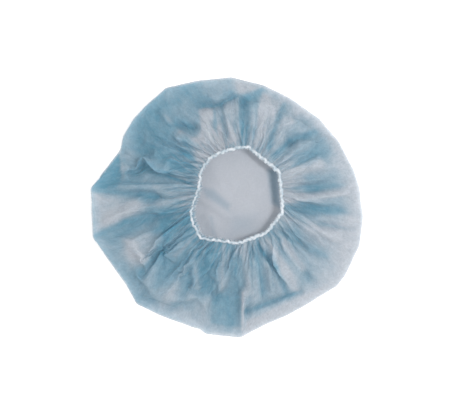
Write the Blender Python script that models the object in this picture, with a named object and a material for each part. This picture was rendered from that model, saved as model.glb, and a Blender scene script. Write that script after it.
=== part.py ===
"""Disposable bouffant cap of non-woven fabric, relaxed and lying on its crown with its gathered mouth up.

The fabric is one round sheet. Its middle lies flat as the crown, it turns back at a folded edge, and the
side runs in and up to a small mouth, where a white elastic band gathers it into pleats. In metres, +Z up.
The origin is on the surface that the crown lies on, below the middle of the box round the folded edge.
"""

import math
from collections import namedtuple

import bmesh
import bpy
from mathutils import Vector

# Plan sizes, from the photograph and a cap cut 533 mm (21 inches) across before it is gathered
CAP_WIDTH = 0.310  # across the folded edge
MOUTH_WIDTH = 0.103  # across the relaxed elastic, centre line to centre line
MOUTH_OFFSET_X = 0.0125  # from the middle of the cap to the middle of the mouth
MOUTH_OFFSET_Y = 0.0145

# Heights above the surface that the crown lies on
EDGE_HEIGHT = 0.009  # thickness of the soft folded edge
CREST_HEIGHT = 0.0265  # the side's highest ring, a little outside the mouth
BAND_HEIGHT = 0.0205  # centre line of the elastic

# Fabric, folds and elastic
WALL = 0.001  # the fabric's wall
FOLD_DEPTH = 0.0060  # rise of the tallest broad fold of the side
RUFFLE_DEPTH = 0.0034  # rise and fall of the gathers beside the elastic
BAND_WAVE = 0.0010  # rise and fall of the elastic itself
BAND_THICKNESS = 0.0030
BAND_CLEARANCE = 0.0005  # between the fabric's edge and the elastic

# How far each corner of the two outlines is rounded, in degrees either way
EDGE_SOFTNESS = 1.0
MOUTH_SOFTNESS = 7.0

# Where folds and gathers begin and end, on the way from the edge (0) to the mouth (1)
FOLD_RUN_IN = 0.35  # the stretch over which a broad fold reaches its full height
FOLD_RUN_OUT = 0.15  # the stretch over which it dies away again
RUFFLES_START = 0.25
RUFFLES_FULL = 0.75
RUFFLES_CRUSHED = 0.86  # from here on the elastic holds the gathers down
CRUSH = 0.75  # the share of a gather's height that the elastic takes away
DRAWN_IN = 0.80  # from here on the fabric runs down to the elastic

# The mesh: each ruffle has four columns, so that its ridge and its valley each fall on one
RUFFLES = 30
COLUMNS_PER_RUFFLE = 4
EDGE_ROWS = 5
SIDE_ROWS = 11
BAND_SIDES = 6
CROWN_RINGS = (0.40, 0.80)  # shares of the way from the crown's middle to its flat part's edge

# The folded edge seen from above: a corner a row, with its distance as a share of half of CAP_WIDTH
Corner = namedtuple("Corner", "angle reach")
OUTLINE = (
    Corner(9, 0.976),
    Corner(20, 0.956),
    Corner(44, 0.947),
    Corner(60, 0.921),
    Corner(70, 0.933),
    Corner(88, 0.960),
    Corner(103, 0.953),
    Corner(117, 0.982),
    Corner(137, 0.935),
    Corner(152, 0.885),
    Corner(172, 1.008),
    Corner(193, 1.012),
    Corner(203, 0.950),
    Corner(218, 0.936),
    Corner(227, 0.972),
    Corner(239, 0.923),
    Corner(257, 0.917),
    Corner(261, 0.948),
    Corner(276, 0.968),
    Corner(290, 0.902),
    Corner(309, 0.912),
    Corner(324, 0.982),
    Corner(344, 1.003),
    Corner(356, 1.012),
)

# The elastic seen from above, about the mouth's own middle, as shares of half of MOUTH_WIDTH
MOUTH_LINE = (
    Corner(0, 0.93),
    Corner(14, 0.93),
    Corner(28, 1.01),
    Corner(50, 0.97),
    Corner(76, 1.04),
    Corner(100, 0.95),
    Corner(125, 0.95),
    Corner(147, 0.96),
    Corner(162, 0.88),
    Corner(178, 0.88),
    Corner(200, 1.04),
    Corner(224, 1.15),
    Corner(245, 1.06),
    Corner(268, 1.01),
    Corner(290, 0.99),
    Corner(318, 1.04),
    Corner(335, 1.06),
    Corner(350, 0.98),
)

# The side from the folded edge to the mouth: how far in, and how far up from EDGE_HEIGHT to CREST_HEIGHT
Step = namedtuple("Step", "way rise")
SIDE_PROFILE = (Step(0.0, 0.0), Step(0.2, 0.42), Step(0.45, 0.80), Step(0.72, 1.0), Step(0.88, 0.93))

# Broad folds of the side. A fold runs from angle at_mouth to angle at_edge (degrees), is about twice width
# degrees wide and lifts the fabric by a share of FOLD_DEPTH. It begins and ends at near and far, on the way
# from the edge (0) to the mouth (1). A negative lift is a valley.
Fold = namedtuple("Fold", "at_mouth at_edge width lift near far")
FOLDS = (
    Fold(4, 5, 7, -0.7, 0.15, 1.0),
    Fold(-12, -10, 9, 0.7, 0.10, 1.0),
    Fold(-32, -28, 8, 0.8, 0.20, 1.0),
    Fold(-48, -45, 7, 1.0, 0.25, 1.0),
    Fold(-64, -57, 6, -0.9, 0.20, 1.0),
    Fold(-76, -68, 7, 0.8, 0.10, 1.0),
    Fold(-94, -92, 6, -0.8, 0.00, 1.0),
    Fold(-106, -104, 7, 0.6, 0.10, 1.0),
    Fold(-126, -122, 9, 0.8, 0.15, 1.0),
    Fold(-146, -142, 8, -0.8, 0.10, 1.0),
    Fold(-161, -160, 7, 0.8, 0.00, 1.0),
    Fold(-176, -174, 7, -0.7, 0.05, 1.0),
    Fold(166, 170, 8, 0.8, 0.05, 1.0),
    Fold(150, 152, 7, -0.6, 0.15, 1.0),
    Fold(133, 131, 8, 0.9, 0.15, 1.0),
    Fold(114, 112, 7, -0.5, 0.20, 1.0),
    Fold(99, 97, 6, 0.6, 0.15, 1.0),
    Fold(83, 77, 6, -1.0, 0.05, 1.0),
    Fold(69, 68, 7, 0.9, 0.10, 1.0),
    Fold(58, 61, 5, -0.8, 0.15, 1.0),
    Fold(42, 36, 6, -0.7, 0.15, 1.0),
    Fold(26, 24, 9, 0.7, 0.20, 1.0),
)

# Colours, linear
NON_WOVEN_BLUE = (0.30, 0.50, 0.60, 1.0)
ELASTIC_WHITE = (0.78, 0.84, 0.88, 1.0)


def reach_at(corners, angle):
    """The share at an angle in degrees, where the loop runs straight from corner to corner."""
    angle %= 360.0
    following = next((i for i, c in enumerate(corners) if c.angle > angle), 0)
    before, after = corners[following - 1], corners[following]
    past = math.radians((angle - before.angle) % 360.0)
    left = math.radians((after.angle - angle) % 360.0)
    span = before.reach * math.sin(past) + after.reach * math.sin(left)
    return before.reach * after.reach * math.sin(past + left) / span


def softened(corners, angle, spread):
    """The share with its corners rounded over twice the spread in degrees."""
    samples = [reach_at(corners, angle + spread * k / 2) for k in range(-2, 3)]
    return sum(samples) / len(samples)


def heading(angle):
    """The level unit vector at an angle in degrees."""
    return Vector((math.cos(math.radians(angle)), math.sin(math.radians(angle)), 0.0))


def outline_point(angle):
    """The furthest point of the folded edge, in plan, about the middle that OUTLINE is measured from."""
    return heading(angle) * (CAP_WIDTH / 2 * softened(OUTLINE, angle, EDGE_SOFTNESS))


def outline_middle():
    """The middle of the box round the folded edge, which the origin lies below."""
    points = [outline_point(angle) for angle in range(360)]
    xs, ys = [p.x for p in points], [p.y for p in points]
    return Vector(((min(xs) + max(xs)) / 2, (min(ys) + max(ys)) / 2, 0.0))


def edge_point(angle):
    """The furthest point of the folded edge, in plan."""
    return outline_point(angle) - OUTLINE_MIDDLE


def band_point(angle):
    """A point of the elastic's centre line."""
    middle = Vector((MOUTH_OFFSET_X, MOUTH_OFFSET_Y, 0.0))
    plan = middle + heading(angle) * (MOUTH_WIDTH / 2 * softened(MOUTH_LINE, angle, MOUTH_SOFTNESS))
    wave = math.sin(math.radians(3 * angle + 40)) + 0.6 * math.sin(math.radians(7 * angle))
    return plan + Vector((0.0, 0.0, BAND_HEIGHT + BAND_WAVE * wave / 1.6))


def eased(x):
    """0 up to x = 0, 1 from x = 1, and smooth between."""
    x = min(max(x, 0.0), 1.0)
    return x * x * (3 - 2 * x)


def side_height(way):
    """Height of the smooth side at a way from the edge (0) towards the mouth."""
    for low, high in zip(SIDE_PROFILE, SIDE_PROFILE[1:]):
        if way <= high.way:
            share = low.rise + (high.rise - low.rise) * (way - low.way) / (high.way - low.way)
            break
    else:
        share = SIDE_PROFILE[-1].rise
    return EDGE_HEIGHT + (CREST_HEIGHT - EDGE_HEIGHT) * share


def fold_lift(angle, way):
    """What the broad folds add to the side's height."""
    total = 0.0
    for fold in FOLDS:
        middle = fold.at_edge + (fold.at_mouth - fold.at_edge) * way
        off = (angle - middle + 180.0) % 360.0 - 180.0
        across = math.exp(-((off / fold.width) ** 2))
        along = eased((way - fold.near) / FOLD_RUN_IN) * eased((fold.far - way) / FOLD_RUN_OUT)
        total += fold.lift * across * along
    return FOLD_DEPTH * total


def ruffle_lift(column, way):
    """What the small gathers beside the mouth add: a ridge and a valley for each ruffle, no two alike."""
    ruffle, phase = divmod(column, COLUMNS_PER_RUFFLE)
    strength = 0.8 + 0.2 * math.sin(2.4 * ruffle) + 0.15 * math.sin(5.1 * ruffle)
    grown = eased((way - RUFFLES_START) / (RUFFLES_FULL - RUFFLES_START))
    crushed = CRUSH * eased((way - RUFFLES_CRUSHED) / (1.0 - RUFFLES_CRUSHED))
    return RUFFLE_DEPTH * strength * grown * (1.0 - crushed) * (0.0, 1.0, 0.0, -1.0)[phase]


def column_angles():
    """The columns' angles: ruffles of uneven width all the way round."""
    widths = [1.0 + 0.22 * math.sin(1.9 * i) + 0.16 * math.sin(4.3 * i + 1.0) for i in range(RUFFLES)]
    scale = 360.0 / sum(widths)
    angles, at = [], 0.0
    for width in widths:
        step = width * scale / COLUMNS_PER_RUFFLE
        angles += [at + step * k for k in range(COLUMNS_PER_RUFFLE)]
        at += width * scale
    return angles


def crown_points(angle):
    """The crown's flat rings at one angle, from the inside out."""
    flat_edge = edge_point(angle) - heading(angle) * (EDGE_HEIGHT / 2)
    return [flat_edge * share for share in CROWN_RINGS]


def edge_points(angle):
    """The rounded folded edge at one angle, from the table up."""
    radius = EDGE_HEIGHT / 2
    middle = edge_point(angle) - heading(angle) * radius
    points = []
    for row in range(EDGE_ROWS):
        turn = math.pi * row / (EDGE_ROWS - 1) - math.pi / 2
        rise = Vector((0.0, 0.0, radius * (1 + math.sin(turn))))
        points.append(middle + heading(angle) * (radius * math.cos(turn)) + rise)
    return points


def side_points(column, angle):
    """The gathered side at one angle, from the folded edge in to the elastic."""
    start = edge_point(angle) - heading(angle) * (EDGE_HEIGHT / 2)
    band = band_point(angle)
    seat = band + heading(angle) * (BAND_THICKNESS / 2 + BAND_CLEARANCE)
    points = []
    for row in range(1, SIDE_ROWS + 1):
        way = row / SIDE_ROWS
        plan = start.lerp(seat, way)
        free = side_height(way) + fold_lift(angle, way) + ruffle_lift(column, way)
        drawn_in = eased((way - DRAWN_IN) / (1.0 - DRAWN_IN))
        plan.z = free + (seat.z + WALL / 2 - free) * drawn_in
        points.append(plan)
    return points


def make_material(name, colour, roughness):
    material = bpy.data.materials.new(name)
    material.use_nodes = True
    shader = material.node_tree.nodes["Principled BSDF"]
    shader.inputs["Base Color"].default_value = colour
    shader.inputs["Roughness"].default_value = roughness
    shader.inputs["Metallic"].default_value = 0.0
    return material


def add_object(name, mesh, material):
    mesh.materials.append(material)
    obj = bpy.data.objects.new(name, mesh)
    bpy.context.scene.collection.objects.link(obj)
    return obj


def bridge(mesh, ring, following):
    """Quads between two closed rings of as many points."""
    count = len(ring)
    for i in range(count):
        j = (i + 1) % count
        mesh.faces.new((ring[i], ring[j], following[j], following[i]))


def make_cap_body():
    """The fabric: its outer surface as a grid of columns and rows, thickened inwards."""
    mesh = bmesh.new()
    columns = []
    for column, angle in enumerate(column_angles()):
        points = crown_points(angle) + edge_points(angle) + side_points(column, angle)
        columns.append([mesh.verts.new(p) for p in points])
    rings = [list(ring) for ring in zip(*columns)]
    middle = mesh.verts.new((0.0, 0.0, 0.0))
    first = rings[0]
    for i, vertex in enumerate(first):
        mesh.faces.new((middle, first[(i + 1) % len(first)], vertex))
    for ring, following in zip(rings, rings[1:]):
        bridge(mesh, ring, following)
    mesh.normal_update()
    data = bpy.data.meshes.new("cap_body")
    mesh.to_mesh(data)
    mesh.free()
    data.shade_smooth()
    body = add_object("cap_body", data, make_material("non_woven_blue", NON_WOVEN_BLUE, 0.8))
    thicken = body.modifiers.new("wall", "SOLIDIFY")
    thicken.thickness = WALL
    thicken.offset = -1.0
    thicken.use_even_offset = True
    thicken.use_quality_normals = True


def make_elastic_band():
    """The elastic: a round cord closed on itself, following the mouth."""
    angles = column_angles()
    centres = [band_point(angle) for angle in angles]
    mesh = bmesh.new()
    rings = []
    for i, centre in enumerate(centres):
        tangent = (centres[(i + 1) % len(centres)] - centres[i - 1]).normalized()
        outward = tangent.cross(Vector((0, 0, 1))).normalized()
        upward = outward.cross(tangent)
        ring = []
        for side in range(BAND_SIDES):
            turn = 2 * math.pi * (side + 0.5) / BAND_SIDES
            offset = outward * math.cos(turn) + upward * math.sin(turn)
            ring.append(mesh.verts.new(centre + offset * (BAND_THICKNESS / 2)))
        rings.append(ring)
    for i, ring in enumerate(rings):
        bridge(mesh, ring, rings[(i + 1) % len(rings)])
    bmesh.ops.recalc_face_normals(mesh, faces=mesh.faces)
    data = bpy.data.meshes.new("elastic_band")
    mesh.to_mesh(data)
    mesh.free()
    data.shade_smooth()
    add_object("elastic_band", data, make_material("elastic_white", ELASTIC_WHITE, 0.7))


OUTLINE_MIDDLE = outline_middle()


def main():
    for obj in list(bpy.data.objects):
        bpy.data.objects.remove(obj)
    make_cap_body()
    make_elastic_band()


main()
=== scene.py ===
"""Looks of a disposable bouffant cap that lies on its crown with its gathered mouth up.

The fabric is simulated from its real flat cut: a round sheet whose middle lies flat as the crown, which turns
back at a folded edge, and whose rim is gathered by the elastic. Metres, +Z up, in the frame of the CAD model.
"""

import math
from collections import namedtuple

import bmesh
import bpy
import numpy as np
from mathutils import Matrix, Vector


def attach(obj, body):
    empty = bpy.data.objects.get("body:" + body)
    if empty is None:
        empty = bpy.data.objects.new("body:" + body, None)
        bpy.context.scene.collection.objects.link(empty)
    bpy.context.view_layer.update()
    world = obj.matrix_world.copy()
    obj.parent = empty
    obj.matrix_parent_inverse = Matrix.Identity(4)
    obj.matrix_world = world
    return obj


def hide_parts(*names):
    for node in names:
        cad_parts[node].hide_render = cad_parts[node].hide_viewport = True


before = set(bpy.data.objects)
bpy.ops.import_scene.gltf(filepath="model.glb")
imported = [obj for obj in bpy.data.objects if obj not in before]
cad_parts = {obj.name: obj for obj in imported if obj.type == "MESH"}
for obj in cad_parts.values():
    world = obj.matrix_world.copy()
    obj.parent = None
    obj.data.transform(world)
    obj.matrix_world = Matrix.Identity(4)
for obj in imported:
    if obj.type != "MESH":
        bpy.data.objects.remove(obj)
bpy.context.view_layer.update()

# Camera: straight above, with the photograph's 450 pixels taking in VIEW_WIDTH
VIEW_WIDTH = 0.515
VIEW_CENTRE = (-0.0020, 0.0086)
LENS = 85.0
SENSOR = 36.0

# Plan sizes of the cap, as the CAD model has them
CAP_WIDTH = 0.310
MOUTH_WIDTH = 0.103
MOUTH_MIDDLE = np.array((0.0125, 0.0145))
BAND_HEIGHT = 0.0205

# The flat cut: a round sheet, a little shorter than it is wide, whose middle lies at SHEET_CENTRE
SHEET_WIDTH = 0.533
SHEET_LENGTH = 0.514
SHORTER = 1 - SHEET_LENGTH / SHEET_WIDTH  # share that the length lacks
SHEET_CENTRE = np.array((-0.0150, -0.0130))
HEM_WIDTH = 0.005  # of the flat sheet, turned in past the elastic
FOLD_RADIUS = 0.0028  # of the soft folded edge
SIDE_OVER = 0.004  # length past the fold over which the crown's looks change to the side's
EDGE_ALLOWANCE = 0.0015  # what the settling pulls the folded edge in
EDGE_SPREAD = 1.007  # how far a stretch of edge's outermost point lies beyond its average
OUTLINE_STEP = 2.0  # degrees of edge that are set on the outline together
OUTLINE_FROM = 0.72  # share of the way out at which the fabric begins to follow the outline
OUTLINE_OVER = 0.22  # and over which it comes to follow it fully

# Size of the fabric's triangles before the last subdivision
SIDE_MESH = 0.0042
CROWN_MESH = 0.0060
CROWN_MESH_UP_TO = 0.115  # radius on the flat sheet
MESH_CHANGE = 0.03  # width over which one size gives way to the other
RING_STEP = 0.9  # distance between rings of points, as a share of a triangle's side

# Gathers and folds that the simulation starts from
FINE_PLEATS = 52
FINE_HEIGHT = 0.0040
FINE_WIDTHS = (0.35, 1.65)  # least and greatest, as shares of an even pleat's width
FINE_HEIGHTS = (0.6, 1.25)  # least and greatest, as shares of FINE_HEIGHT
FINE_BEGIN = (0.0, 0.45)  # where they begin, as shares of the way from the folded edge to the mouth
FINE_GROW = 0.5  # share of that way over which they grow
BROAD_FOLDS = 20
BROAD_HEIGHT = 0.0030
BROAD_WIDTHS = (0.7, 1.3)
BROAD_GROW = 0.3
BROAD_FADE_FROM = 0.55
BROAD_FADE = 0.4
MOUTH_FADE_FROM = 0.93  # from here all of them are lower
MOUTH_FADE = 0.07
FADED = 0.75  # share of the height that is lost in each of these two fades
PLACED_HEIGHT = 0.0115
PLEAT_SEED = 5
SIDE_START = 0.004  # what the side starts above the crown at the least

# The elastic: a rope, lumpy from the gathers and thicker on the right, and the thread wound round it
BAND_RISE = 0.001  # how far it rises and falls
BAND_SWAY = 0.0004  # and sways from side to side
Wave = namedtuple("Wave", "times shift share")  # waves in one round of the mouth, shift in degrees
RISE_WAVES = (Wave(3, 40, 1.0), Wave(7, 0, 0.6))
SWAY_WAVES = (Wave(29, 0, 1.0), Wave(47, 80, 1.0), Wave(71, 0, 1.0))
ROPE_POINTS = 900
ROPE_RADIUS = 0.0016
ROPE_SIDES = 8
THICKER_RIGHT = 0.2
LUMPS = 150
LUMP_SIZES = (0.70, 1.25)  # least and greatest, as shares of ROPE_RADIUS
ELASTIC_SEED = 3
THREAD_TURNS = 260
TURN_POINTS = 8
THREAD_RADIUS = 0.00028
THREAD_SIDES = 5
THREAD_LIFT = 0.0002  # of the thread's middle off the rope

# The hem inside the elastic, widest on the left, and its rows: share of the width, and height of the ripples
HEM_LEAST = 0.0026
HEM_MORE = 0.0034  # what the widest place has on top of that
HEM_WIDEST_AT = 205.0
HEM_SPREAD = 38.0
HEM_SEED = 11
HEM_RIPPLES = 110
RIPPLE_WIDTHS = (0.5, 1.5)
RIPPLE_HEIGHTS = (0.5, 1.3)
HEM_WAVER = 0.12  # share of the width by which its rows go in and out
HEM_CUT = 0.01  # how much further out on the flat sheet its free edge lies, as a share
HEM_SINK = 0.0012  # from the elastic to the hem's free edge
HemRow = namedtuple("HemRow", "share lift")
HEM_ROWS = (HemRow(0.35, 0.0008), HemRow(0.7, 0.0012), HemRow(1.0, 0.0014))

# Simulation: frames, how near layers of fabric come, and the plate that presses the cap flat and lets it go
FRAMES = 32
LAYER_GAP = 0.001
PLATE_HALF = 0.5  # half of its width
PLATE_SKIN = 0.0005  # how near it lets the fabric come
Plate = namedtuple("Plate", "frame height")
PLATE = (Plate(1, 0.060), Plate(12, 0.026), Plate(20, 0.026), Plate(29, 0.037))
CROWN_HELD_TO = 0.006  # the crown is held up to this distance from the fold

# Looks of the fabric and the elastic
PALE_FABRIC = (0.640, 0.676, 0.718)
DEEP_FABRIC = (0.140, 0.362, 0.480)
# The crown's colour: the same fabric painted darker and greyer than the side's, as painted shade inside the
# cap
SHADED_CROWN_FABRIC = (0.410, 0.430, 0.468)
# Colour of the painted shade and shadow on the crown
CROWN_PAINTED_SHADE = (0.18, 0.27, 0.34)
ELASTIC_DEEP = (0.30, 0.37, 0.42)
ELASTIC_PALE = (0.52, 0.55, 0.58)
THIN_COVER = 0.60  # share of the light that one layer stops, laid flat
THICK_COVER = 0.78  # the same where it is gathered
CROWN_COVER = 0.78
STREAK_LIGHT_AND_SHADE = 0.27  # how much the thin gathers at the mouth change the tone: a painted highlight on their ridges, painted shade between them
RIGHT_STREAKS = 0.45  # share of that which shows on the right
STREAK_NEAR = 0.05  # distance from MOUTH_MIDDLE up to which they show in full
STREAK_FAR = 0.095  # and from which only the share STREAK_REST of them shows
STREAK_REST = 0.12
STREAKS_ROUND = 17.0  # how closely they lie round the mouth
STREAKS_OUT = 2.2  # and how fast they change on their way out, for each metre
CRUMPLE = 0.4  # strength of the flat facets between small creases
CRUMPLE_CELLS = 30.0  # facets for each metre
CRUMPLE_SWAY = 0.03  # how far their borders wander
CRUMPLE_HEIGHT = 0.0030
FIBRE_SCALE = 520.0
THROUGH = 0.55  # share of the stopped light that shines through
THROUGH_GAMMA = 1.25  # which makes it deeper than the light that comes back
BODY_TONE = 0.200  # of the side away from its open rim: 0 looks pale and 1 deep blue
GATHER_TONE = 0.36
FINE_TONE = 0.36
# Painted shade in the valleys between folds, and a painted highlight on their crests
VALLEY_PAINTED_SHADE = 0.28
VALLEY_DEPTH = 0.006  # at which a valley has its full painted shade
# Painted highlight along the ridges of CREASES and painted shade along their valleys
CREASE_PAINTED_LIGHT_AND_SHADE = 0.32
PATCH_TONE = 0.8
LEFT_TONE = 0.29  # what is added to it on the far left
LEFT_FROM = 0.03  # where that begins
LEFT_OVER = 0.15  # and the width over which it grows
MOUTH_TONE = 0.42  # what is taken from it at the mouth
MOUTH_REACH = 0.030  # distance from the mouth over which that fades out
MOUTH_LEFT = 0.06  # width over which it weakens to the left
MOUTH_LEAST = 0.3  # share of it that remains there
BELOW_MOUTH = 0.6  # share of it that is missing below the mouth
BELOW_OVER = 0.04  # and the length over which that share grows
SHOULDER = 0.62  # tones deeper than this are pressed together
RIM_FADE = 0.9  # share of the tone that the open rim loses
RIM_WIDTH = 0.002  # where it is narrow
RIM_WIDEST = 0.032
RIM_WIDEST_AT = 350.0
RIM_SPREAD = 52.0

# Last changes to the settled shape
RIDGE_HEIGHT = 0.0009  # of the narrow creases pressed into the fabric
SHARP_WIDTH = 0.0030  # creases narrower than this are pressed in
RIDGES_FROM = 0.010  # distance from the mouth at which they begin
RIDGES_OVER = 0.010  # and over which they reach their full height
BAND_CLEARANCE = 0.0001
BAND_SLOPE = 0.8  # the fabric rises no more steeply than this from the elastic
SUNK = 0.0012  # what the crown lies above the table while it settles
SUNK_UP_TO = 0.012  # height from which the fabric stays where it settled

# Lights: power, place and size
Light = namedtuple("Light", "power place size")
KEY = Light(18.5, (0.60, 0.02, 1.5), 0.35)
FILL = Light(4.0, (-1.2, -0.8, 1.4), 1.0)
WORLD = 1.18
FLOOR_HALF = 4.0
FLOOR_GAP = 5e-4  # how far the floor lies below the frame's zero

Corner = namedtuple("Corner", "angle reach")
OUTLINE_SOFT = 0.6  # degrees to each side over which the corners of OUTLINE are softened
MOUTH_SOFT = 3.0  # the same for MOUTH_LINE

# The folded edge seen from above, as shares of half of CAP_WIDTH
OUTLINE = (
    Corner(8, 0.986),
    Corner(16, 0.974),
    Corner(31, 0.955),
    Corner(44, 0.941),
    Corner(60, 0.926),
    Corner(73, 0.937),
    Corner(88, 0.956),
    Corner(103, 0.953),
    Corner(117, 0.985),
    Corner(129, 0.954),
    Corner(137, 0.943),
    Corner(146, 0.922),
    Corner(152, 0.887),
    Corner(164, 0.941),
    Corner(172, 1.008),
    Corner(193, 1.008),
    Corner(203, 0.955),
    Corner(217, 0.930),
    Corner(227, 0.972),
    Corner(239, 0.930),
    Corner(259, 0.923),
    Corner(260, 0.946),
    Corner(276, 0.965),
    Corner(289, 0.907),
    Corner(298, 0.912),
    Corner(309, 0.928),
    Corner(324, 0.998),
    Corner(330, 1.006),
    Corner(344, 1.017),
    Corner(356, 1.004),
)

# The elastic seen from above, about MOUTH_MIDDLE, as shares of half of MOUTH_WIDTH
MOUTH_LINE = (
    Corner(29.2, 1.035),
    Corner(57.2, 0.963),
    Corner(78.6, 1.077),
    Corner(94.2, 1.018),
    Corner(111.2, 1.000),
    Corner(126.9, 1.012),
    Corner(147.3, 0.966),
    Corner(169.9, 0.868),
    Corner(196.4, 1.062),
    Corner(208.2, 1.156),
    Corner(229.6, 1.256),
    Corner(254.7, 1.056),
    Corner(270.4, 1.060),
    Corner(306.8, 1.042),
    Corner(337.8, 1.045),
    Corner(356.9, 0.960),
)

# Folds that the photograph shows, each a run between two places seen from above: half width in metres, and
# lift as a share of PLACED_HEIGHT. A ridge looks pale and is positive. A valley looks deep and is negative.
# Each crease's lift also sets its tone: a painted highlight along a ridge, painted shade along a valley.
Crease = namedtuple("Crease", "x0 y0 x1 y1 width lift")
CREASES = (
    Crease(0.019, 0.069, 0.020, 0.120, 0.0065, -1.0),
    Crease(0.020, 0.120, 0.041, 0.135, 0.0050, -0.8),
    Crease(0.035, 0.073, 0.044, 0.126, 0.0055, 0.8),
    Crease(0.046, 0.067, 0.065, 0.117, 0.0030, -1.0),
    Crease(0.057, 0.079, 0.082, 0.113, 0.0075, 0.6),
    Crease(0.052, 0.058, 0.072, 0.075, 0.0035, -1.0),
    Crease(0.072, 0.075, 0.100, 0.086, 0.0035, -0.9),
    Crease(0.066, 0.036, 0.105, 0.048, 0.0060, 0.6),
    Crease(0.067, 0.022, 0.103, 0.022, 0.0030, -0.9),
    Crease(0.103, 0.022, 0.133, 0.026, 0.0030, -0.7),
    Crease(0.067, 0.010, 0.137, 0.017, 0.0035, 0.9),
    Crease(0.067, 0.001, 0.146, -0.005, 0.0055, -1.0),
    Crease(0.105, -0.018, 0.146, -0.026, 0.0020, -0.6),
    Crease(0.070, -0.014, 0.120, -0.034, 0.0060, 0.5),
    Crease(0.063, -0.029, 0.114, -0.056, 0.0045, -0.6),
    Crease(0.066, -0.039, 0.086, -0.067, 0.0050, 0.9),
    Crease(0.035, -0.043, 0.055, -0.067, 0.0030, -1.2),
    Crease(0.046, -0.037, 0.080, -0.094, 0.0045, 0.7),
    Crease(0.055, -0.067, 0.070, -0.098, 0.0035, -0.7),
    Crease(0.023, -0.118, 0.084, -0.096, 0.0025, -1.0),
    Crease(0.029, -0.136, 0.124, -0.094, 0.0075, 0.7),
    Crease(0.018, -0.096, 0.018, -0.139, 0.0018, 1.2),
    Crease(0.000, -0.105, 0.000, -0.132, 0.0120, -0.8),
    Crease(0.019, -0.043, 0.024, -0.096, 0.0040, 0.7),
    Crease(0.030, -0.046, 0.041, -0.096, 0.0040, -0.7),
    Crease(-0.003, -0.043, -0.006, -0.096, 0.0022, 0.9),
    Crease(0.006, -0.040, 0.008, -0.096, 0.0050, -0.6),
    Crease(-0.021, -0.044, -0.024, -0.086, 0.0120, -0.8),
    Crease(-0.041, -0.039, -0.058, -0.054, 0.0025, 0.9),
    Crease(-0.036, -0.060, -0.032, -0.092, 0.0025, 0.8),
    Crease(-0.046, -0.070, -0.070, -0.110, 0.0070, 0.5),
    Crease(-0.098, -0.073, -0.074, -0.048, 0.0035, -1.0),
    Crease(-0.111, -0.047, -0.096, -0.060, 0.0090, 1.0),
    Crease(-0.149, -0.032, -0.115, -0.016, 0.0032, -1.0),
    Crease(-0.115, -0.016, -0.083, -0.012, 0.0032, -0.9),
    Crease(-0.136, -0.012, -0.104, 0.001, 0.0080, 0.9),
    Crease(-0.151, 0.020, -0.079, 0.012, 0.0030, -0.9),
    Crease(-0.079, -0.020, -0.048, -0.012, 0.0100, -0.9),
    Crease(-0.146, 0.027, -0.124, 0.054, 0.0080, -1.2),
    Crease(-0.124, 0.037, -0.098, 0.043, 0.0035, -0.9),
    Crease(-0.098, 0.043, -0.041, 0.028, 0.0035, -0.5),
    Crease(-0.122, 0.063, -0.118, 0.037, 0.0020, 0.9),
    Crease(-0.104, 0.066, -0.049, 0.050, 0.0040, -0.3),
    Crease(-0.100, 0.055, -0.045, 0.038, 0.0025, 0.3),
    Crease(-0.075, 0.109, -0.053, 0.086, 0.0022, 0.9),
    Crease(-0.053, 0.086, -0.032, 0.075, 0.0022, 0.9),
    Crease(-0.060, 0.093, -0.036, 0.092, 0.0040, -0.6),
    Crease(-0.030, 0.115, -0.007, 0.117, 0.0025, -0.9),
    Crease(-0.007, 0.117, 0.012, 0.127, 0.0025, -0.9),
    Crease(-0.024, 0.109, -0.022, 0.077, 0.0070, 0.8),
    Crease(-0.006, 0.112, 0.000, 0.070, 0.0040, -0.5),
)

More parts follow.
